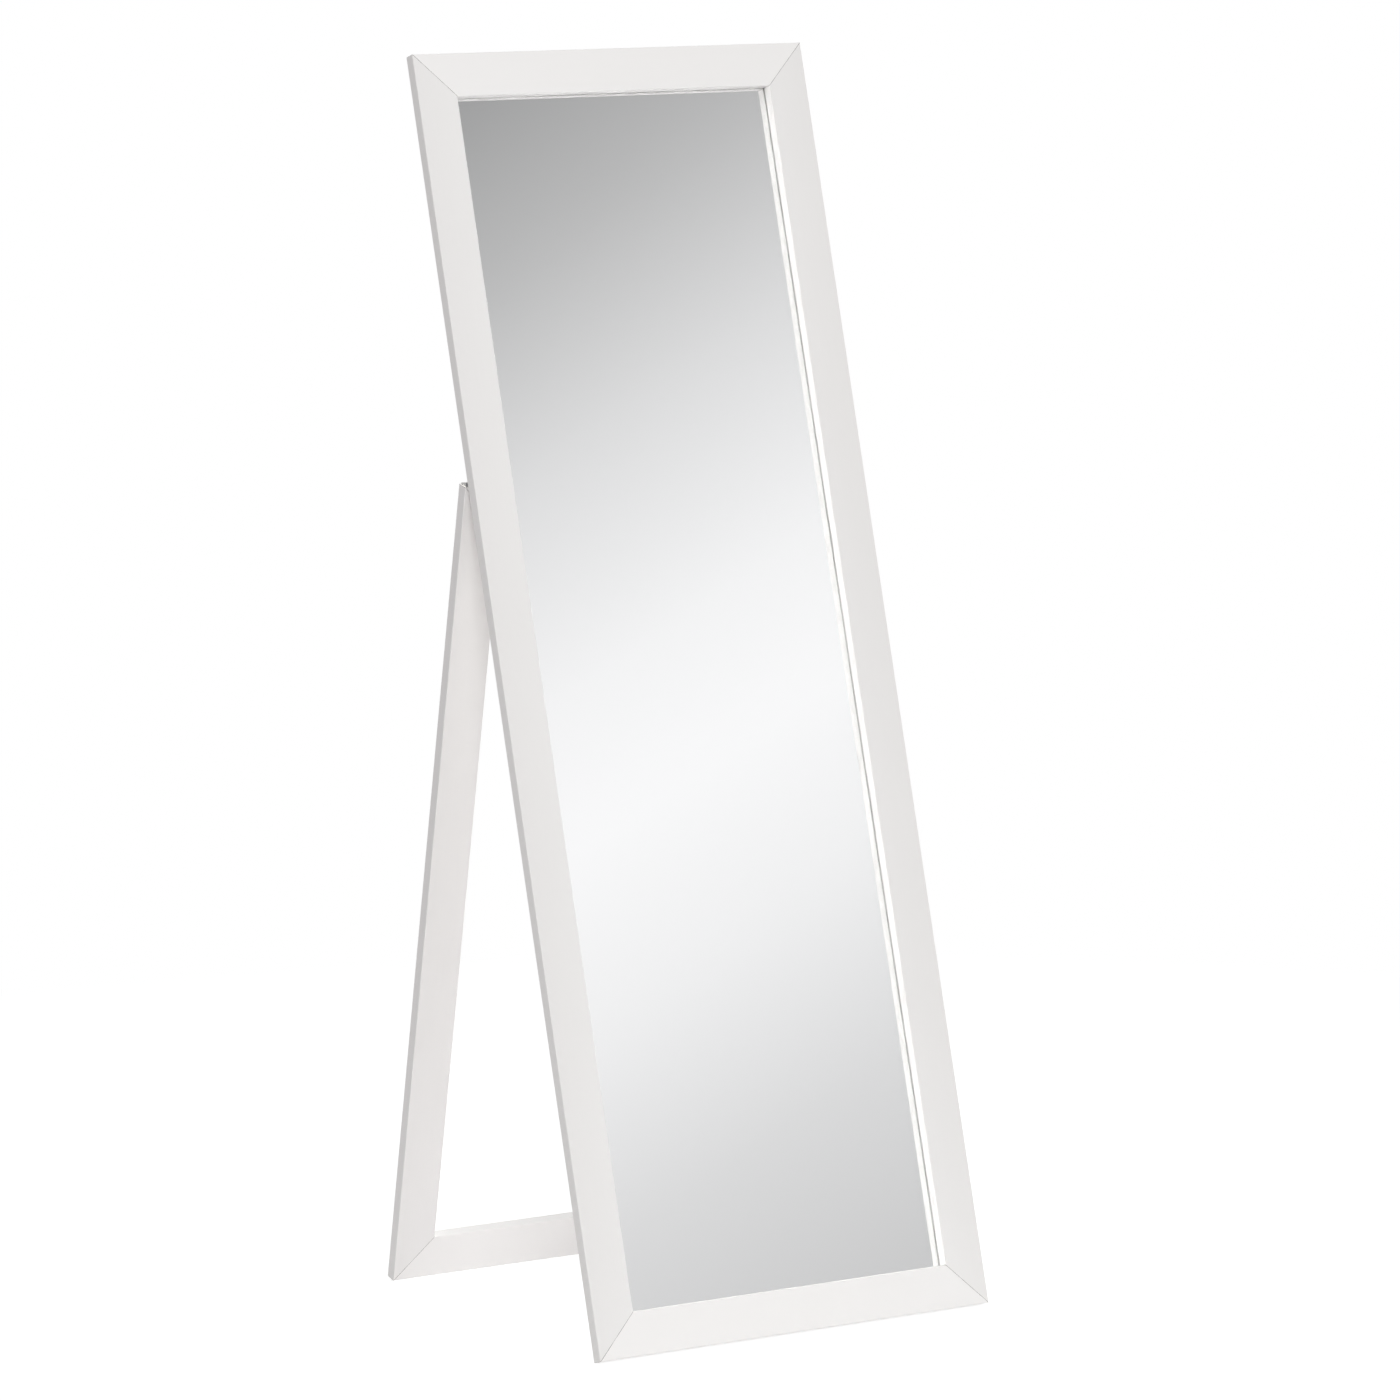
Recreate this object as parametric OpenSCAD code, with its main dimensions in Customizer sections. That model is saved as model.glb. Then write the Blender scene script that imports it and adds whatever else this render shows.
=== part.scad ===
// Free-standing full-length mirror: a mitred picture-frame surround that leans back on a hinged
// rear stand of the same moulding. The stand folds flat behind the mirror.
// Origin: centre of the footprint, on the floor. X to the right, Y to the back, Z up.

/* [Mirror frame] */
// Outside width of the frame and of the stand
frame_w = 500; // [380:1:700]
// Outside length of the frame, measured along its slope
frame_h = 1450; // [1300:1:1900]
// Backward lean of the frame from upright, degrees
frame_lean = 15; // [10:0.5:20]

/* [Moulding] */
// Face width of every moulding
face_w = 49; // [40:0.5:70]
// Thickness of every moulding
moulding_t = 16; // [15:0.5:22]
// Round-over of the outer front edge
front_r = 1.2; // [0.5:0.1:3]
// Round-over of the outer back edge
back_r = 2; // [0.5:0.1:3]
// Round-over of the inner edge
inner_r = 1.5; // [0.4:0.1:2]
// Straight steps in each round-over
arc_steps = 4; // [2:1:6]

/* [Glass and back] */
// Width of the rebate that the glass sits in
rebate_w = 6; // [4:0.5:10]
// Depth of the lip in front of the glass
lip_t = 12; // [10:0.5:14]
// Thickness of the glass
glass_t = 3; // [2:0.5:3]
// Thickness of the silvering and its paint
silver_t = 0.2; // [0.1:0.05:0.3]
// Thickness of the card between the mirror and the board
card_t = 0.6; // [0.3:0.1:0.7]
// Gap around the glass inside the rebate
glass_gap = 0.5; // [0.2:0.1:1]
// Thickness of the backing board
board_t = 2.5; // [2:0.1:2.8]
// How far the board laps over the back of the frame
board_lap = 8; // [7:0.5:12]

/* [Stand] */
// Length of the stand, along its slope
stand_len = 957; // [800:1:1150]
// Forward lean of the stand from upright, degrees
stand_lean = 13; // [10:0.5:18]
// Gap between the folded stand and the back of the frame
fold_gap = 3.5; // [3.3:0.1:6]

/* [Hinges] */
// Length of each hinge
hinge_len = 30; // [24:1:32]
// Gap from the side of the frame to the end of the hinge
hinge_inset = 1.5; // [0.5:0.5:4]
// Thickness of the leaves
leaf_t = 1.5; // [1:0.1:1.6]
// Height of the frame leaf above the pin
frame_leaf_h = 16; // [14:1:24]
// Radius of the pin
pin_r = 1.5; // [1:0.1:1.8]
// Radius of the knuckles
knuckle_r = 3; // [2.8:0.1:3.2]
// Height of the stop tab above the pin
stop_h = 11; // [8:1:14]

/* [Fasteners] */
// Radius of the screw shanks
screw_r = 1.5; // [1.2:0.1:1.8]
// Radius of the screw heads
head_r = 2.7; // [2.2:0.1:3.2]
// Thickness of the pan heads
head_t = 1.5; // [1:0.1:2]
// Length of the screws below the head
screw_len = 11; // [9:0.5:12]
// Board screws along each long side
side_screws = 6; // [4:1:9]
// Board screws along each short side
end_screws = 3; // [2:1:5]
// Length of each wing of a corner nail
nail_wing = 5; // [4:0.5:7]
// Thickness of a corner nail
nail_t = 0.6; // [0.4:0.1:1]
// How deep a corner nail is driven
nail_depth = 10; // [7:0.5:12]

/* [Hidden] */
// Free space between parts that move on each other
clear = 0.3;
// Radial running clearance of a hinge knuckle on its pin
pin_fit = 0.05;
// How far a cutting tool runs past the solid that it cuts
past = 1;
// Sides of a round solid in previews
fine = 48;

// Sizes inside the rebate
sight_w = frame_w - 2 * face_w;
sight_h = frame_h - 2 * face_w;
glass_w = sight_w + 2 * rebate_w - 2 * glass_gap;
glass_h = sight_h + 2 * rebate_w - 2 * glass_gap;
board_w = sight_w + 2 * rebate_w + 2 * board_lap;
board_h = sight_h + 2 * rebate_w + 2 * board_lap;

// The pin lies just behind the frame and just above the stand
pin_behind = knuckle_r + clear;
pin_above = knuckle_r + clear;
pin_in_stand = [0, pin_behind - fold_gap, stand_len + pin_above];
open_angle = frame_lean + stand_lean;

// A rounded foot sinks a little when it leans, so both feet are lowered onto the floor
frame_drop = back_r * (sin(frame_lean) + cos(frame_lean) - 1);
stand_drop = front_r * (sin(stand_lean) + cos(stand_lean) - 1);

// Height of the pin above the floor, from the stand, and then its place along the frame
pin_z = pin_in_stand[2] * cos(stand_lean) + pin_in_stand[1] * sin(stand_lean) - stand_drop;
pin_along = (pin_z + pin_behind * sin(frame_lean) + frame_drop) / cos(frame_lean);

// Distances front to back from the rear foot edge of the frame
pin_back = pin_along * sin(frame_lean) + pin_behind * cos(frame_lean);
foot_back = pin_back + pin_in_stand[2] * sin(stand_lean) - pin_in_stand[1] * cos(stand_lean);
front_reach = moulding_t * cos(frame_lean);
rear_reach = foot_back + moulding_t * cos(stand_lean);
frame_y = (front_reach - rear_reach) / 2;
stand_y = frame_y + foot_back;

// Hinge layout along X, as distances from the outer end of the hinge
knuckle_gap = 0.4;
knuckle_len = (hinge_len - 2 * knuckle_gap) / 3;
screw_inset = 6.5;
frame_screw_up = 11;
stand_screw_back = 9;
leaf_back = 14;
pin_head_t = 0.8;
pin_head_r = 2.2;

// Driver recess in the screw heads
cross_w = 0.7;
cross_len = 3;
cross_depth = 0.8;

// Corner nails: distance of each of the two nails from the outer corner, the same in X and Z
nail_places = [17, 34];

// ---- Placing -------------------------------------------------------------------------------

// Frame coordinates: front face at Y 0, bottom edge at Z 0, Z along the slope
module on_frame() {
    translate([0, frame_y, -frame_drop])
        rotate([-frame_lean, 0, 0])
            translate([0, -moulding_t, 0])
                children();
}

// Stand coordinates: front face at Y 0, bottom edge at Z 0, Z along the slope
module on_stand() {
    translate([0, stand_y, -stand_drop])
        rotate([stand_lean, 0, 0])
            children();
}

// Puts children at the pin, with Z along the frame, from frame coordinates
module at_pin_on_frame() {
    translate([0, moulding_t + pin_behind, pin_along])
        children();
}

// Mirrors the left-hand piece to the right when side is 1
module sided(side) {
    mirror([side, 0, 0])
        children();
}

// ---- Moulding ------------------------------------------------------------------------------

function arc(x, y, r, from, to) =
    [for (i = [0:arc_steps]) let (a = from + (to - from) * i / arc_steps)
        [x + r * cos(a), y + r * sin(a)]];

// Section of the moulding: X from the outer to the inner side, Y from front to back
function section(rebated) = concat(
    arc(front_r, front_r, front_r, 180, 270),
    arc(face_w - inner_r, inner_r, inner_r, 270, 360),
    rebated
        ? [[face_w, lip_t], [face_w - rebate_w, lip_t], [face_w - rebate_w, moulding_t]]
        : arc(face_w - back_r, moulding_t - back_r, back_r, 0, 90),
    arc(back_r, moulding_t - back_r, back_r, 90, 180)
);

// A moulding along X with mitred ends, its outer side at Z 0
module mitred_bar(len, rebated) {
    intersection() {
        rotate([0, -90, 0])
            linear_extrude(len, center = true)
                polygon(section(rebated));
        translate([0, moulding_t + past, 0])
            rotate([90, 0, 0])
                linear_extrude(moulding_t + 2 * past)
                    polygon([[-len / 2, 0], [len / 2, 0],
                        [len / 2 - face_w, face_w], [face_w - len / 2, face_w]]);
    }
}

module bottom_bar(rebated) {
    mitred_bar(frame_w, rebated);
}

module top_bar(len, rebated) {
    translate([0, 0, len])
        mirror([0, 0, 1])
            mitred_bar(frame_w, rebated);
}

module side_bar(len, rebated, side) {
    sided(side)
        translate([-frame_w / 2, 0, len / 2])
            rotate([0, 90, 0])
                mitred_bar(len, rebated);
}

// ---- Fasteners -----------------------------------------------------------------------------

module cross_recess() {
    for (turn = [0, 90])
        rotate([0, 0, turn])
            translate([-cross_len / 2, -cross_w / 2, -cross_depth])
                cube([cross_len, cross_w, cross_depth + past]);
}

// A pan-head screw with its head standing on Z 0 and its shank below
module pan_screw() {
    difference() {
        union() {
            cylinder(r1 = head_r, r2 = head_r * 0.8, h = head_t, $fn = fine);
            translate([0, 0, -screw_len])
                cylinder(r = screw_r, h = screw_len + head_t / 2, $fn = fine);
        }
        translate([0, 0, head_t])
            cross_recess();
    }
}

// A countersunk screw with the top of its head at Z 0
module flat_screw() {
    difference() {
        union() {
            translate([0, 0, -head_t])
                cylinder(r1 = screw_r, r2 = head_r, h = head_t, $fn = fine);
            translate([0, 0, -screw_len])
                cylinder(r = screw_r, h = screw_len - head_t, $fn = fine);
        }
        cross_recess();
    }
}

// A V-shaped strip driven along Y into the back of a corner, with one wing in each moulding
module corner_nail() {
    for (turn = [0, -90])
        rotate([0, turn, 0])
            translate([-nail_t / 2, 0, -nail_t / 2])
                cube([nail_wing, nail_depth, nail_t]);
}

// Both nails in each of the four corners of a mitred rectangle of the given length
module corner_nails(len) {
    for (sx = [0, 1], sz = [0, 1])
        translate([0, 0, len / 2])
            mirror([sx, 0, 0])
                mirror([0, 0, sz])
                    for (place = nail_places)
                        translate([place - frame_w / 2, moulding_t - nail_depth, place - len / 2])
                            corner_nail();
}

// ---- Mirror, card and board ----------------------------------------------------------------

// A flat sheet behind the opening, from the given depth
module sheet(w, h, depth, t) {
    translate([-w / 2, depth, (frame_h - h) / 2])
        cube([w, t, h]);
}

// Puts a child at every board screw, with Z out of the back
module at_board_screws() {
    reach_x = board_w / 2 - board_lap / 2;
    reach_z = board_h / 2 - board_lap / 2;
    translate([0, moulding_t + board_t, frame_h / 2])
        rotate([-90, 0, 0]) {
            for (side = [-1, 1], i = [0:side_screws - 1])
                translate([side * reach_x, reach_z * (2 * (i + 0.5) / side_screws - 1), 0])
                    children();
            for (side = [-1, 1], i = [0:end_screws - 1])
                translate([reach_x * (2 * (i + 0.5) / end_screws - 1), side * reach_z, 0])
                    children();
        }
}

// ---- Hinges --------------------------------------------------------------------------------
// Left-hand hinge, in pin coordinates: X from the outer end, Y to the back, Z along the frame

hinge_x = hinge_inset - frame_w / 2;

module knuckle(start, bore) {
    translate([start, 0, 0])
        rotate([0, 90, 0])
            difference() {
                cylinder(r = knuckle_r, h = knuckle_len, $fn = fine);
                translate([0, 0, -past])
                    cylinder(r = bore, h = knuckle_len + 2 * past, $fn = fine);
            }
}

// Leaf on the back of the frame: a plate that rises from the two outer knuckles
module frame_leaf() {
    last = hinge_len - knuckle_len;
    difference() {
        union() {
            translate([0, -pin_behind, pin_above])
                cube([hinge_len, leaf_t, frame_leaf_h - pin_above]);
            for (start = [0, last])
                translate([start, -pin_behind, 0])
                    cube([knuckle_len, leaf_t, pin_above + past]);
            for (start = [0, last])
                translate([start, 0, 0])
                    rotate([0, 90, 0])
                        cylinder(r = knuckle_r, h = knuckle_len, $fn = fine);
        }
        translate([-past, 0, 0])
            rotate([0, 90, 0])
                cylinder(r = pin_r, h = hinge_len + 2 * past, $fn = fine);
        at_frame_leaf_screws()
            translate([0, 0, -leaf_t - past])
                cylinder(r = screw_r + clear / 2, h = leaf_t + 2 * past, $fn = fine);
    }
}

// Both screw places of the frame leaf, with Z out of the back and Z 0 on the leaf
module at_frame_leaf_screws() {
    for (x = [screw_inset, hinge_len - screw_inset])
        translate([x, leaf_t - pin_behind, frame_screw_up])
            rotate([-90, 0, 0])
                children();
}

module hinge_pin() {
    rotate([0, 90, 0]) {
        cylinder(r = pin_r, h = hinge_len, $fn = fine);
        translate([0, 0, -pin_head_t])
            cylinder(r = pin_head_r, h = pin_head_t, $fn = fine);
        translate([0, 0, hinge_len])
            cylinder(r = pin_head_r, h = pin_head_t, $fn = fine);
    }
}

// Leaf on the top end of the stand, in stand coordinates: a plate behind the middle knuckle,
// and the stop tab that bears on the frame leaf when the stand is open
module stand_leaf() {
    middle = knuckle_len + knuckle_gap;
    front = pin_in_stand[1] + knuckle_r + clear;
    difference() {
        union() {
            translate([0, front, stand_len])
                cube([hinge_len, leaf_back - front, leaf_t]);
            translate([middle, pin_in_stand[1], stand_len])
                cube([knuckle_len, front - pin_in_stand[1] + past, leaf_t]);
            translate(pin_in_stand)
                rotate([-open_angle, 0, 0]) {
                    translate([middle, leaf_t + clear - pin_behind, 0])
                        cube([knuckle_len, leaf_t, stop_h]);
                    translate([middle, 0, 0])
                        rotate([0, 90, 0])
                            cylinder(r = knuckle_r, h = knuckle_len, $fn = fine);
                }
        }
        translate(pin_in_stand)
            translate([-past, 0, 0])
                rotate([0, 90, 0])
                    cylinder(r = pin_r + pin_fit, h = hinge_len + 2 * past, $fn = fine);
        at_stand_leaf_screws()
            translate([0, 0, -leaf_t - past])
                cylinder(r = screw_r + clear / 2, h = leaf_t + 2 * past, $fn = fine);
    }
}

// Both screw places of the stand leaf, with Z up and Z 0 on the leaf
module at_stand_leaf_screws() {
    for (x = [screw_inset, hinge_len - screw_inset])
        translate([x, stand_screw_back, stand_len + leaf_t])
            children();
}

// ---- Nodes: mirror frame -------------------------------------------------------------------

module frame_stile_left() {
    color("whitesmoke") on_frame() side_bar(frame_h, true, 0);
}

module frame_stile_right() {
    color("whitesmoke") on_frame() side_bar(frame_h, true, 1);
}

module frame_rail_top() {
    color("whitesmoke") on_frame() top_bar(frame_h, true);
}

module frame_rail_bottom() {
    color("whitesmoke") on_frame() bottom_bar(true);
}

module frame_corner_nails() {
    color("silver") on_frame() corner_nails(frame_h);
}

module mirror_glass() {
    color("lightblue", 0.4) on_frame() sheet(glass_w, glass_h, lip_t, glass_t);
}

module mirror_silvering() {
    color("gainsboro") on_frame() sheet(glass_w, glass_h, lip_t + glass_t, silver_t);
}

module packing_card() {
    color("tan") on_frame() sheet(glass_w, glass_h, lip_t + glass_t + silver_t, card_t);
}

module backing_board() {
    color("lightgray") on_frame()
        difference() {
            sheet(board_w, board_h, moulding_t, board_t);
            at_board_screws() {
                translate([0, 0, -board_t - past])
                    cylinder(r = screw_r, h = board_t + 2 * past, $fn = fine);
                translate([0, 0, -head_t])
                    cylinder(r1 = screw_r, r2 = head_r, h = head_t, $fn = fine);
            }
        }
}

module backing_screws() {
    color("silver") on_frame() at_board_screws() flat_screw();
}

// ---- Nodes: hinges -------------------------------------------------------------------------

module frame_leaf_node(side) {
    color("dimgray") on_frame() sided(side) at_pin_on_frame() translate([hinge_x, 0, 0]) frame_leaf();
}

module pin_node(side) {
    color("dimgray") on_frame() sided(side) at_pin_on_frame() translate([hinge_x, 0, 0]) hinge_pin();
}

module stand_leaf_node(side) {
    color("dimgray") on_stand() sided(side) translate([hinge_x, 0, 0]) stand_leaf();
}

module hinge_frame_leaf_left() {
    frame_leaf_node(0);
}

module hinge_frame_leaf_right() {
    frame_leaf_node(1);
}

module hinge_pin_left() {
    pin_node(0);
}

module hinge_pin_right() {
    pin_node(1);
}

module hinge_stand_leaf_left() {
    stand_leaf_node(0);
}

module hinge_stand_leaf_right() {
    stand_leaf_node(1);
}

module hinge_frame_screws() {
    color("silver") on_frame()
        for (side = [0, 1])
            sided(side) at_pin_on_frame() translate([hinge_x, 0, 0])
                at_frame_leaf_screws() pan_screw();
}

module hinge_stand_screws() {
    color("silver") on_stand()
        for (side = [0, 1])
            sided(side) translate([hinge_x, 0, 0])
                at_stand_leaf_screws() pan_screw();
}

// ---- Nodes: stand --------------------------------------------------------------------------

module stand_leg_left() {
    color("whitesmoke") on_stand() side_bar(stand_len, false, 0);
}

module stand_leg_right() {
    color("whitesmoke") on_stand() side_bar(stand_len, false, 1);
}

module stand_rail_top() {
    color("whitesmoke") on_stand() top_bar(stand_len, false);
}

module stand_rail_bottom() {
    color("whitesmoke") on_stand() bottom_bar(false);
}

module stand_corner_nails() {
    color("silver") on_stand() corner_nails(stand_len);
}

frame_stile_left();
frame_stile_right();
frame_rail_top();
frame_rail_bottom();
frame_corner_nails();
mirror_glass();
mirror_silvering();
packing_card();
backing_board();
backing_screws();
hinge_frame_leaf_left();
hinge_frame_leaf_right();
hinge_pin_left();
hinge_pin_right();
hinge_frame_screws();
stand_leg_left();
stand_leg_right();
stand_rail_top();
stand_rail_bottom();
stand_corner_nails();
hinge_stand_leaf_left();
hinge_stand_leaf_right();
hinge_stand_screws();
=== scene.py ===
import math

import bmesh
import bpy
from mathutils import Matrix, Vector


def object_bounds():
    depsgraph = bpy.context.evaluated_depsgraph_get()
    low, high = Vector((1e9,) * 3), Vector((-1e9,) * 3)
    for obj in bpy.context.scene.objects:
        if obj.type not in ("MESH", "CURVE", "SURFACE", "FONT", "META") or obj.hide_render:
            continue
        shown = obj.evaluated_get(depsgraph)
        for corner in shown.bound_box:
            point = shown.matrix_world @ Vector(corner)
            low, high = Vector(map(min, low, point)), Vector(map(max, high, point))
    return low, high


# Looks of a free-standing floor mirror. Every panel is textured in its own coordinates, in
# metres: X across, Y from the front face to the back, and Z up along the panel's slope.

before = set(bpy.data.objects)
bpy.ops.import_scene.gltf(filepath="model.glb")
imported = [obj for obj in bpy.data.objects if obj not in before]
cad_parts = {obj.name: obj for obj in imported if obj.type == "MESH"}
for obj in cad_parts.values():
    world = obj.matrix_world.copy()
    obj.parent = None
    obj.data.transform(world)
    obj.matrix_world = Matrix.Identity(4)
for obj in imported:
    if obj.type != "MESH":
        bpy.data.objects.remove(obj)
cad_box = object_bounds()
MM = 0.001

FRAME_BARS = ("frame_stile_left", "frame_stile_right", "frame_rail_top", "frame_rail_bottom")
STAND_BARS = ("stand_leg_left", "stand_leg_right", "stand_rail_top", "stand_rail_bottom")
HINGE_LEAVES = tuple(f"hinge_{leaf}_leaf_{side}" for leaf in ("frame", "stand")
                     for side in ("left", "right"))
HINGE_PINS = ("hinge_pin_left", "hinge_pin_right")
SCREWS = ("backing_screws", "hinge_frame_screws", "hinge_stand_screws")
CORNER_NAILS = ("frame_corner_nails", "stand_corner_nails")


# ---- Camera ----------------------------------------------------------------------------------

CAMERA_PLACE = (-3.4042, -5.9170, 1.5984)
CAMERA_YAW = 30.148
CAMERA_DOWN = 7.675
CAMERA_ROLL = -0.855
LENS_MM = 157.87
SENSOR_MM = 36.0


def make_camera():
    data = bpy.data.cameras.new("photo_view")
    data.lens = LENS_MM
    data.sensor_width = SENSOR_MM
    data.clip_end = 200.0
    camera = bpy.data.objects.new("photo_view", data)
    bpy.context.scene.collection.objects.link(camera)
    turn = Matrix.Rotation(math.radians(-CAMERA_YAW), 4, "Z")
    tip = Matrix.Rotation(math.radians(90 - CAMERA_DOWN), 4, "X")
    roll = Matrix.Rotation(math.radians(CAMERA_ROLL), 4, "Z")
    camera.matrix_world = Matrix.Translation(CAMERA_PLACE) @ turn @ tip @ roll
    bpy.context.scene.camera = camera


# ---- Node trees ------------------------------------------------------------------------------

class Nodes:
    """Builds a material's node tree. Each call adds a node and gives back its output socket."""

    def __init__(self, name):
        self.material = bpy.data.materials.new(name)
        self.material.use_nodes = True
        self.tree = self.material.node_tree
        self.surface = self.tree.nodes["Principled BSDF"]

    def feed(self, socket, value):
        if isinstance(value, bpy.types.NodeSocket):
            self.tree.links.new(value, socket)
        else:
            socket.default_value = value

    def add(self, kind, inputs, output=0, **settings):
        made = self.tree.nodes.new("ShaderNode" + kind)
        for key, value in settings.items():
            setattr(made, key, value)
        for key, value in (inputs.items() if isinstance(inputs, dict) else enumerate(inputs)):
            self.feed(made.inputs[key], value)
        return made.outputs[output]

    def maths(self, operation, *values):
        return self.add("Math", values, operation=operation)

    def noise(self, place, size, detail=2.0, roughness=0.5):
        """Smooth noise whose largest features are about size metres across."""
        return self.add("TexNoise", {"Vector": place, "Scale": 1 / size, "Detail": detail,
                                     "Roughness": roughness})

    def stretch(self, place, scale):
        return self.add("VectorMath", {0: place, 1: scale}, operation="MULTIPLY")

    def spread(self, value, low, high, to_low=0.0, to_high=1.0):
        """Maps low..high to to_low..to_high, clamped."""
        return self.add("MapRange", {"Value": value, "From Min": low, "From Max": high,
                                     "To Min": to_low, "To Max": to_high})

    def blend(self, factor, first, second):
        return self.add("Mix", {0: factor, 6: (*first, 1) if isinstance(first, tuple) else first,
                                7: (*second, 1) if isinstance(second, tuple) else second},
                        output=2, data_type="RGBA")

    def bump(self, height, depth, normal=None):
        """A bump whose height of 0 to 1 stands for depth metres."""
        inputs = {"Height": height, "Distance": depth, "Strength": 1.0}
        if normal is not None:
            inputs["Normal"] = normal
        return self.add("Bump", inputs)

    def finish(self, **sockets):
        for name, value in sockets.items():
            self.feed(self.surface.inputs[name.replace("_", " ")], value)
        return self.material


class Panel:
    """A flat rectangle of parts that stands on the floor at a slope."""

    def __init__(self, names):
        meshes = [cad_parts[name].data for name in names]
        broad = max((face for mesh in meshes for face in mesh.polygons), key=lambda face: face.area)
        self.tilt = -math.atan(broad.normal.z / broad.normal.y)
        upright = Matrix.Rotation(self.tilt, 3, "X")
        points = [upright @ vertex.co for mesh in meshes for vertex in mesh.vertices]
        low = Vector(min(point[axis] for point in points) for axis in range(3))
        high = Vector(max(point[axis] for point in points) for axis in range(3))
        self.origin = Vector((0, low.y, low.z))
        self.width, self.depth, self.height = high - low
        self.out = (0.0, -math.cos(self.tilt), math.sin(self.tilt))

    def place(self, nodes):
        """The point being shaded, in the panel's coordinates."""
        point = nodes.add("TexCoord", {}, output="Object")
        return nodes.add("Mapping", {"Vector": point, "Location": -self.origin,
                                     "Rotation": (self.tilt, 0, 0)}, vector_type="POINT")

    def facing(self, nodes):
        """1 on faces that look out of the panel's front, and 0 on the others."""
        normal = nodes.add("NewGeometry", {}, output="True Normal")
        local = nodes.add("VectorTransform", {"Vector": normal}, vector_type="NORMAL",
                          convert_from="WORLD", convert_to="OBJECT")
        along = nodes.add("VectorMath", {0: local, 1: self.out}, output="Value",
                          operation="DOT_PRODUCT")
        return nodes.maths("GREATER_THAN", along, 0.9)


# ---- Materials -------------------------------------------------------------------------------

# The film's light and dark mottled tones along the sides, and its tone along the ends, which is lighter
# as painted light
FRAME_FILM = (0.86, 0.852, 0.838), (0.84, 0.831, 0.817), (0.905, 0.896, 0.881)
# The stand's film is a darker, pinker copy of the frame's film as painted shade, and its ends are
# lighter as painted light
STAND_FILM_PAINTED_SHADE = (0.815, 0.802, 0.793), (0.795, 0.782, 0.773), (0.85, 0.84, 0.828)
# Painted shade: the film darkens towards the bars' outer edges and reaches its plain tone over this
# distance inwards
FILM_OUTER_PAINTED_SHADE = (0.80, 0.79, 0.775)
PAINTED_SHADE_REACH = 45 * MM
SEAM_HALF = 0.22 * MM
SEAM_COLOUR = (0.12, 0.112, 0.10)


def white_film(name, panel, film_light, film_shade, rail_painted_light):
    """Satin white film round a fibreboard moulding, with hairline mitre joints, painted shade towards
    the bars' outer edges and painted light on the rails.
    """
    nodes = Nodes(name)
    place = panel.place(nodes)
    x, y, z = (nodes.add("SeparateXYZ", [place], output=axis) for axis in range(3))
    from_side = nodes.maths("SUBTRACT", panel.width / 2, nodes.maths("ABSOLUTE", x))
    from_end = nodes.maths("MINIMUM", z, nodes.maths("SUBTRACT", panel.height, z))
    across = nodes.maths("MINIMUM", from_side, from_end)
    on_rail = nodes.maths("LESS_THAN", from_end, from_side)
    along = nodes.add("Mix", {0: on_rail, 2: z, 3: x}, data_type="FLOAT")
    bar_place = nodes.add("CombineXYZ", [across, y, along])

    cloud = nodes.noise(place, 0.22, detail=3.0)
    grain = nodes.noise(nodes.stretch(bar_place, (1.0, 1.0, 0.02)), 1.4 * MM, detail=4.0)
    mottle = nodes.maths("ADD", nodes.maths("MULTIPLY", cloud, 0.6), nodes.maths("MULTIPLY", grain, 0.4))
    film = nodes.blend(nodes.spread(mottle, 0.35, 0.65), film_shade, film_light)
    # Painted shade, darker towards the bars' outer edges
    film = nodes.blend(nodes.spread(across, 0.0, PAINTED_SHADE_REACH), nodes.blend(0.5, film, FILM_OUTER_PAINTED_SHADE), film)
    # Painted light: the rails are made lighter than the stiles
    film = nodes.blend(nodes.maths("MULTIPLY", on_rail, 0.8), film, rail_painted_light)

    gap = nodes.maths("ABSOLUTE", nodes.maths("SUBTRACT", from_side, from_end))
    ragged = nodes.spread(nodes.noise(place, 9 * MM), 0.3, 0.7, SEAM_HALF * 0.7, SEAM_HALF * 1.3)
    seam = nodes.maths("SUBTRACT", 1.0, nodes.spread(nodes.maths("DIVIDE", gap, ragged), 0.7, 1.5))
    colour = nodes.blend(seam, film, SEAM_COLOUR)

    peel = nodes.noise(place, 1.1 * MM, detail=1.0)
    skin = nodes.bump(peel, 0.012 * MM, nodes.bump(grain, 0.008 * MM))
    gloss = nodes.spread(nodes.noise(place, 0.05, detail=4.0), 0.3, 0.7, 0.36, 0.46)
    return nodes.finish(Base_Color=colour, Roughness=gloss, Normal=skin, IOR=1.46)


def clear_glass(panel):
    """Float glass: clear through its front, and sea green through its back and ground edges."""
    nodes = Nodes("float_glass")
    colour = nodes.blend(panel.facing(nodes), (0.93, 0.975, 0.955), (0.997, 0.996, 0.995))
    return nodes.finish(Base_Color=colour, Roughness=0.0, IOR=1.52, Transmission_Weight=1.0)


def silvering(panel):
    """Silver towards the glass, and grey protective paint behind and on the edges."""
    nodes = Nodes("silvering_and_paint")
    facing = panel.facing(nodes)
    place = panel.place(nodes)
    spray = nodes.spread(nodes.noise(place, 2.5 * MM, detail=3.0), 0.3, 0.7)
    paint = nodes.blend(spray, (0.20, 0.21, 0.22), (0.25, 0.26, 0.27))
    colour = nodes.blend(facing, paint, (0.972, 0.953, 0.960))
    roughness = nodes.spread(facing, 0.0, 1.0, 0.55, 0.0)
    grit = nodes.maths("MULTIPLY", spray, nodes.maths("SUBTRACT", 1.0, facing))
    return nodes.finish(Base_Color=colour, Metallic=facing, Roughness=roughness,
                        Normal=nodes.bump(grit, 0.01 * MM))


def grey_card(panel):
    """Recycled grey card with short fibres."""
    nodes = Nodes("grey_card")
    place = panel.place(nodes)
    fibres = nodes.noise(nodes.stretch(place, (1.0, 1.0, 0.25)), 1.2 * MM, detail=5.0, roughness=0.7)
    colour = nodes.blend(nodes.spread(fibres, 0.3, 0.7), (0.29, 0.27, 0.24), (0.44, 0.42, 0.38))
    return nodes.finish(Base_Color=colour, Roughness=0.9, Normal=nodes.bump(fibres, 0.04 * MM))


# Distance from the back of the frame to the painted skin of the board
BOARD_CORE = 2.3 * MM


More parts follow.
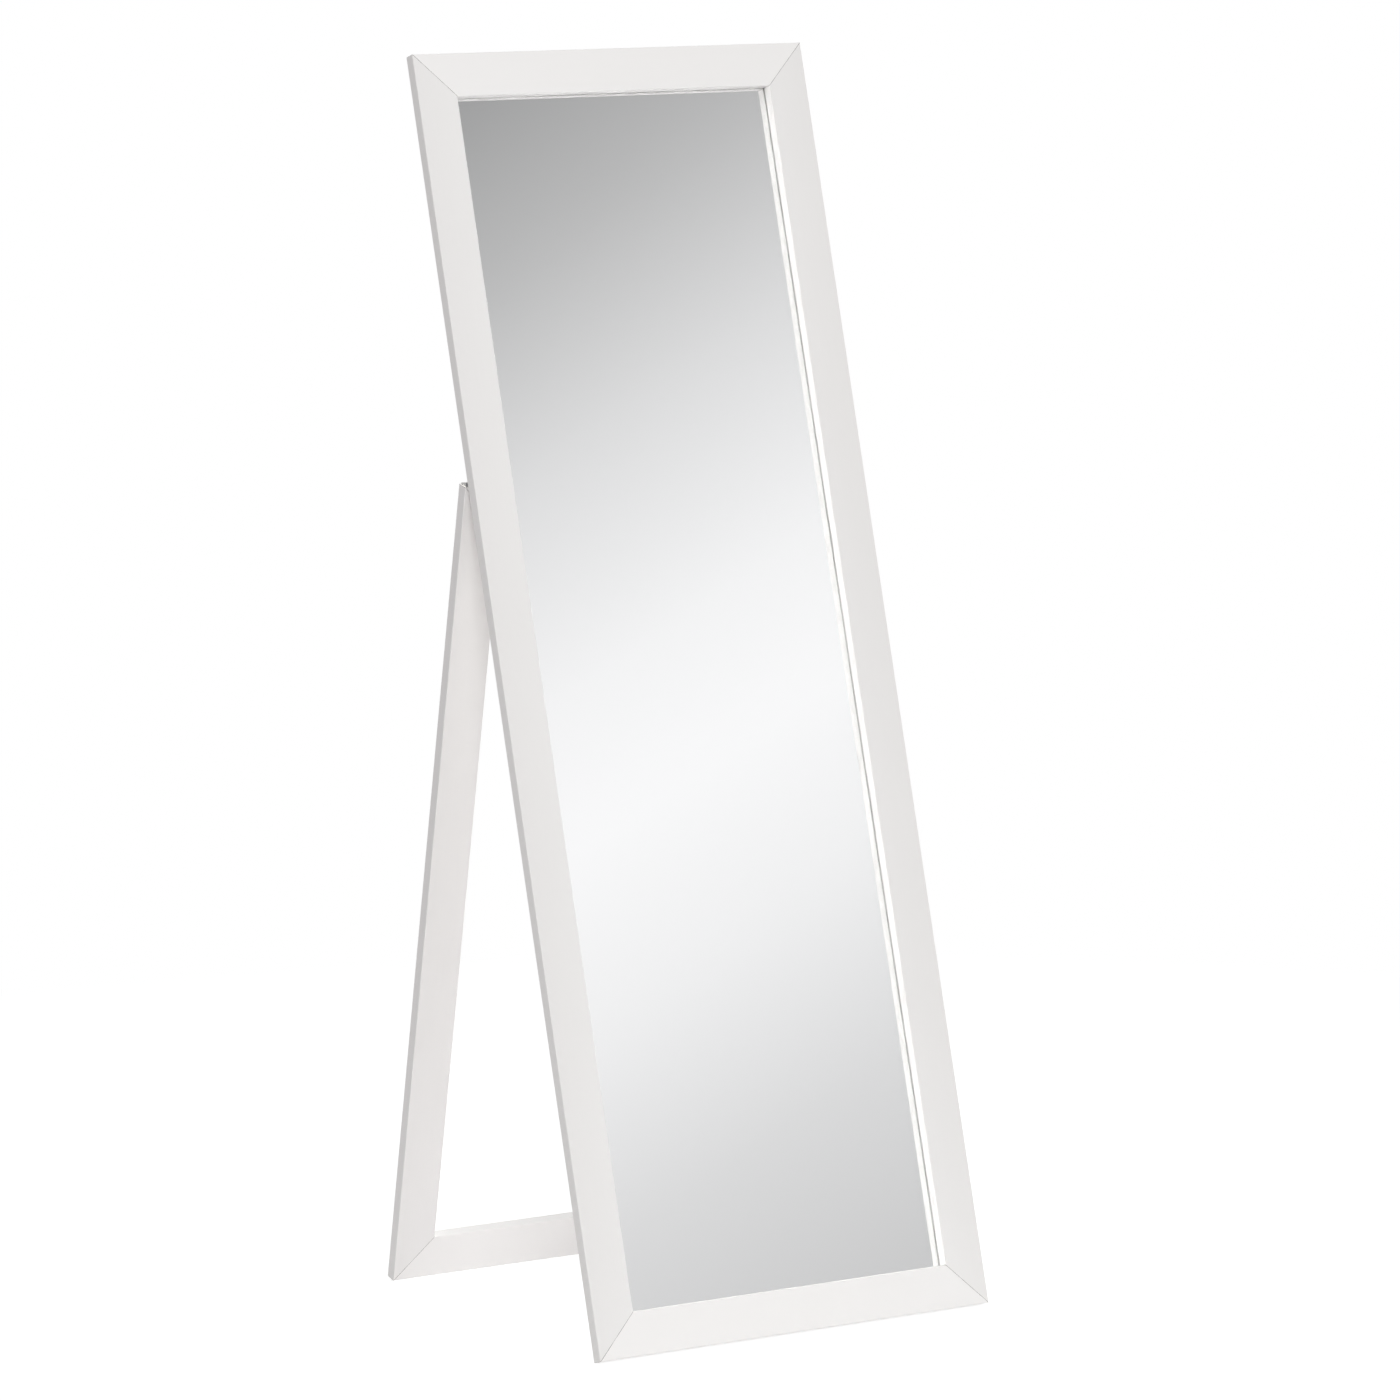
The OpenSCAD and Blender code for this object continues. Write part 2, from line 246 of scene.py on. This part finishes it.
def painted_board(panel):
    """Hardboard with a white-painted face, and brown where its edges are cut."""
    nodes = Nodes("white_faced_hardboard")
    place = panel.place(nodes)
    depth = nodes.add("SeparateXYZ", [place], output=1)
    edge = nodes.maths("LESS_THAN", depth, panel.depth + BOARD_CORE)
    cloud = nodes.noise(place, 0.16, detail=4.0, roughness=0.6)
    fibre = nodes.noise(nodes.stretch(place, (1.0, 1.0, 0.35)), 2.2 * MM, detail=6.0, roughness=0.75)
    tone = nodes.spread(nodes.maths("ADD", nodes.maths("MULTIPLY", cloud, 0.6),
                                    nodes.maths("MULTIPLY", fibre, 0.4)), 0.35, 0.65)
    face = nodes.blend(tone, (0.745, 0.735, 0.715), (0.80, 0.793, 0.775))
    fleck = nodes.spread(nodes.noise(nodes.stretch(place, (1.0, 1.0, 0.5)), 3 * MM), 0.68, 0.76)
    face = nodes.blend(nodes.maths("MULTIPLY", fleck, 0.35), face, (0.60, 0.575, 0.54))
    pressed = nodes.blend(nodes.spread(fibre, 0.3, 0.7), (0.19, 0.108, 0.058), (0.36, 0.225, 0.13))
    gloss = nodes.spread(fibre, 0.3, 0.7, 0.42, 0.58)
    return nodes.finish(Base_Color=nodes.blend(edge, face, pressed), Roughness=gloss,
                        Normal=nodes.bump(fibre, 0.03 * MM))


def plated_steel(name, bright, dull, rough_low, rough_high, streak):
    """Plated steel with fine scratches along streak, a stretch of the texture's coordinates."""
    nodes = Nodes(name)
    place = nodes.add("TexCoord", {}, output="Object")
    brushed = nodes.noise(nodes.stretch(place, streak), 0.5 * MM, detail=4.0, roughness=0.65)
    patch = nodes.noise(place, 6 * MM, detail=3.0)
    tone = nodes.spread(nodes.maths("ADD", nodes.maths("MULTIPLY", brushed, 0.5),
                                    nodes.maths("MULTIPLY", patch, 0.5)), 0.35, 0.65)
    colour = nodes.blend(tone, dull, bright)
    gloss = nodes.spread(brushed, 0.3, 0.7, rough_low, rough_high)
    return nodes.finish(Base_Color=colour, Metallic=1.0, Roughness=gloss,
                        Normal=nodes.bump(brushed, 0.01 * MM))


def dress(names, material):
    for name in names:
        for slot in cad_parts[name].material_slots:
            slot.material = material


# ---- Edges -----------------------------------------------------------------------------------

def welded(name, smooth):
    """A geometry node group that joins a CAD mesh's faces at their edges and sets their shading."""
    group = bpy.data.node_groups.new(name, "GeometryNodeTree")
    for direction in ("INPUT", "OUTPUT"):
        group.interface.new_socket("Geometry", in_out=direction, socket_type="NodeSocketGeometry")
    shape = group.nodes.new("NodeGroupInput").outputs["Geometry"]

    def step(kind, values, **settings):
        made = group.nodes.new("GeometryNode" + kind)
        for key, value in settings.items():
            setattr(made, key, value)
        for key, value in values.items():
            made.inputs[key].default_value = value
        group.links.new(shape, made.inputs[0])
        return made.outputs[0]

    shape = step("MergeByDistance", {"Distance": 0.002 * MM})
    for stored in ("custom_normal", "sharp_face", "sharp_edge"):
        shape = step("RemoveAttribute", {"Name": stored})
    shape = step("SetShadeSmooth", {"Shade Smooth": smooth}, domain="FACE")
    group.links.new(shape, group.nodes.new("NodeGroupOutput").inputs["Geometry"])
    return group


def soften(names, width, weld, segments=3):
    """Rounds the sharp edges of CAD parts by width metres and shades their flats evenly."""
    for name in names:
        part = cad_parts[name]
        part.modifiers.new("weld", "NODES").node_group = weld
        bevel = part.modifiers.new("edges", "BEVEL")
        bevel.width = width
        bevel.segments = segments
        bevel.limit_method = "ANGLE"
        bevel.angle_limit = math.radians(32)
        bevel.use_clamp_overlap = True
        part.modifiers.new("flats", "WEIGHTED_NORMAL").keep_sharp = False


def shift_faces(name, distance, weld):
    """Moves every face of a CAD slab outwards by distance metres, or inwards if it's negative."""
    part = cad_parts[name]
    part.modifiers.new("weld", "NODES").node_group = weld
    move = part.modifiers.new("shift", "DISPLACE")
    move.strength = distance * math.sqrt(3)
    move.mid_level = 0.0


def dress_object():
    frame_panel = Panel(FRAME_BARS)
    stand_panel = Panel(STAND_BARS)
    dress(FRAME_BARS, white_film("white_film_frame", frame_panel, *FRAME_FILM))
    dress(STAND_BARS, white_film("white_film_stand_painted_shade", stand_panel, *STAND_FILM_PAINTED_SHADE))
    dress(["mirror_glass"], clear_glass(frame_panel))
    dress(["mirror_silvering"], silvering(frame_panel))
    dress(["packing_card"], grey_card(frame_panel))
    dress(["backing_board"], painted_board(frame_panel))
    dress(HINGE_LEAVES, plated_steel("nickel_leaf", (0.66, 0.65, 0.63), (0.48, 0.47, 0.46),
                                     0.26, 0.40, (0.03, 1.0, 1.0)))
    dress(HINGE_PINS, plated_steel("dark_pin", (0.20, 0.20, 0.205), (0.12, 0.12, 0.125),
                                   0.24, 0.36, (0.05, 1.0, 1.0)))
    dress(SCREWS, plated_steel("zinc_screw", (0.74, 0.74, 0.72), (0.55, 0.55, 0.53),
                               0.24, 0.38, (1.0, 1.0, 1.0)))
    dress(CORNER_NAILS, plated_steel("corner_nail", (0.50, 0.50, 0.50), (0.34, 0.34, 0.35),
                                     0.30, 0.45, (1.0, 1.0, 0.2)))
    weld = welded("welded_smooth", True)
    soften(FRAME_BARS + STAND_BARS, 0.25 * MM, weld)
    soften(("backing_board", "packing_card"), 0.15 * MM, weld, segments=2)
    soften(HINGE_LEAVES + HINGE_PINS, 0.15 * MM, weld, segments=2)
    soften(SCREWS, 0.08 * MM, weld, segments=2)
    soften(CORNER_NAILS, 0.05 * MM, weld, segments=1)
    flat_weld = welded("welded_flat", False)
    shift_faces("mirror_glass", -0.02 * MM, flat_weld)
    shift_faces("mirror_silvering", 0.05 * MM, flat_weld)


# ---- Studio ----------------------------------------------------------------------------------

FLOOR_HALF = 28.0
# The floor is matt near the object and fades to plain white light between these distances
FLOOR_NEAR = 0.6
FLOOR_FAR = 2.2
FLOOR_GREY = 0.42
FLOOR_GLOW = 0.72
# The share of the floor's own light that falls on the object
FLOOR_BOUNCE = 0.44
FLOOR_BOUNCE_TINT = (1.0, 0.95, 0.98)
BACKDROP_RADIUS = 40.0
GLOSS_RADIUS = 150.0
# The gloss dome's tone by elevation in degrees: what the mirror shows from top to bottom
DOME_TONES = ((0, 1.0), (5, 0.80), (9, 0.64), (12, 0.62), (14, 0.74), (16, 0.93), (17.7, 1.01),
              (19, 0.96), (21, 0.77), (23, 0.52), (25, 0.345), (30, 0.32), (34, 0.5), (40, 1.2),
              (90, 1.3))
# The bands rise a little to the right round the direction in which the photo's view is mirrored
DOME_FACING = 31.6
DOME_BEND = 8.0
DOME_RISE = 0.30
AMBIENT = 0.13
# What the mirror throws onto the surfaces beside it, from a dome that plain surfaces can't see
DOME_FILL = 8.0
# Name: (azimuth, elevation, size in metres, radiance), with azimuth 0 in front and 90 on the right
LIGHTS = {
    "key": (-30, 20, 4.8, 8.3),
    "front": (15, 35, 4.8, 2.3),
    "right": (90, 30, 4.8, 5.2),
    "back_right": (150, 24, 4.8, 9.2),
    "left": (-100, 14, 4.8, 0.75),
}
LIGHT_DISTANCE = 9.0
# A small lamp behind the frame that brightens the middle of the stand's lower rail
FILL_PLACE = (0.01, 0.07, 0.08)
FILL_AIM = (-0.08, 0.225, 0.02)
FILL_SIZE = 0.12
FILL_RADIANCE = 1.5


def emission(name, colour, strength):
    nodes = Nodes(name)
    nodes.tree.nodes.remove(nodes.surface)
    light = nodes.add("Emission", {"Color": colour, "Strength": strength})
    nodes.feed(nodes.tree.nodes["Material Output"].inputs["Surface"], light)
    nodes.material.cycles.emission_sampling = "NONE"
    return nodes


def dome(name, material, radius, rays):
    """A sphere round everything that only the named kinds of ray can see."""
    mesh = bpy.data.meshes.new(name)
    ball = bmesh.new()
    bmesh.ops.create_icosphere(ball, subdivisions=5, radius=radius)
    for face in ball.faces:
        face.smooth = True
    ball.to_mesh(mesh)
    ball.free()
    mesh.materials.append(material)
    made = bpy.data.objects.new(name, mesh)
    bpy.context.scene.collection.objects.link(made)
    for kind in ("camera", "diffuse", "glossy", "transmission", "volume_scatter", "shadow"):
        setattr(made, "visible_" + kind, kind in rays)
    return made


def gloss_dome():
    """What the mirror and the satin surfaces reflect: a bright band between grey ones."""
    nodes = emission("gloss_dome", (1, 1, 1, 1), 1.0)
    point = nodes.add("TexCoord", {}, output="Object")
    x, y, z = (nodes.add("SeparateXYZ", [point], output=axis) for axis in range(3))
    elevation = nodes.maths("ARCSINE", nodes.maths("DIVIDE", z, GLOSS_RADIUS))
    azimuth = nodes.maths("ARCTAN2", x, nodes.maths("MULTIPLY", y, -1.0))
    bend = math.radians(DOME_BEND)
    facing = math.radians(DOME_FACING)
    rise = nodes.spread(azimuth, facing - bend, facing + bend, -bend * DOME_RISE, bend * DOME_RISE)
    ramp = nodes.tree.nodes.new("ShaderNodeValToRGB")
    share = nodes.maths("DIVIDE", nodes.maths("SUBTRACT", elevation, rise), math.pi / 2)
    nodes.feed(ramp.inputs[0], share)
    stops = ramp.color_ramp.elements
    while len(stops) < len(DOME_TONES):
        stops.new(1.0)
    for stop, (degrees, tone) in zip(stops, DOME_TONES):
        stop.position = degrees / 90
        stop.color = (tone, tone, tone * 1.01, 1)
    lit = nodes.maths("GREATER_THAN", nodes.add("LightPath", {}, output="Diffuse Depth"), 0.5)
    tone = nodes.blend(lit, ramp.outputs[0], (DOME_FILL,) * 3)
    nodes.feed(nodes.tree.nodes["Emission"].inputs["Color"], tone)
    low, high = cad_box
    made = dome("gloss_dome", nodes.material, GLOSS_RADIUS, ("glossy", "transmission"))
    made.location = (low + high) / 2


def area_light(name, place, aim, size, radiance):
    data = bpy.data.lights.new(name, "AREA")
    data.shape = "DISK"
    data.size = size
    data.energy = radiance * math.pi * math.pi * (size / 2) ** 2
    light = bpy.data.objects.new(name, data)
    bpy.context.scene.collection.objects.link(light)
    light.location = place
    light.rotation_mode = "QUATERNION"
    light.rotation_quaternion = (aim - place).to_track_quat("-Z", "Y")
    light.visible_glossy = False
    light.visible_transmission = False
    light.visible_camera = False


def make_lights():
    low, high = cad_box
    centre = (low + high) / 2
    for name, (azimuth, elevation, size, radiance) in LIGHTS.items():
        azimuth, elevation = math.radians(azimuth), math.radians(elevation)
        across = math.cos(elevation)
        out = Vector((math.sin(azimuth) * across, -math.cos(azimuth) * across, math.sin(elevation)))
        area_light(name, centre + out * LIGHT_DISTANCE, centre, size, radiance)
    area_light("under_frame", Vector(FILL_PLACE), Vector(FILL_AIM), FILL_SIZE, FILL_RADIANCE)


def make_floor():
    mesh = bpy.data.meshes.new("studio_floor")
    corners = [(x * FLOOR_HALF, y * FLOOR_HALF, 0) for x, y in ((-1, -1), (1, -1), (1, 1), (-1, 1))]
    mesh.from_pydata(corners, [], [(0, 1, 2, 3)])
    nodes = Nodes("studio_floor")
    reach = nodes.add("VectorMath", {0: nodes.add("TexCoord", {}, output="Object")}, output="Value",
                      operation="LENGTH")
    fade = nodes.spread(reach, FLOOR_NEAR, FLOOR_FAR)
    grey = nodes.blend(fade, (FLOOR_GREY,) * 3, (0.0, 0.0, 0.0))
    onto_surface = nodes.add("LightPath", {}, output="Is Diffuse Ray")
    glow = nodes.maths("MULTIPLY", nodes.spread(fade, 0.0, 1.0, FLOOR_GLOW, 1.0),
                       nodes.spread(onto_surface, 0.0, 1.0, 1.0, FLOOR_BOUNCE))
    glow_colour = nodes.blend(onto_surface, (1.0, 1.0, 1.0), FLOOR_BOUNCE_TINT)
    mesh.materials.append(nodes.finish(Base_Color=grey, Roughness=0.9, Specular_IOR_Level=0.0,
                                       Emission_Color=glow_colour, Emission_Strength=glow))
    nodes.material.cycles.emission_sampling = "NONE"
    floor = bpy.data.objects.new("studio_floor", mesh)
    bpy.context.scene.collection.objects.link(floor)


def make_studio():
    scene = bpy.context.scene
    scene.view_settings.view_transform = "Standard"
    scene.world = bpy.data.worlds.new("studio")
    scene.world.use_nodes = True
    scene.world.node_tree.nodes["Background"].inputs["Color"].default_value = (1, 1, 1, 1)
    scene.world.node_tree.nodes["Background"].inputs["Strength"].default_value = AMBIENT
    make_floor()
    white = emission("white_backdrop", (1, 1, 1, 1), 1.0).material
    dome("white_backdrop", white, BACKDROP_RADIUS, ("camera",))
    gloss_dome()
    make_lights()


make_camera()
make_studio()
dress_object()
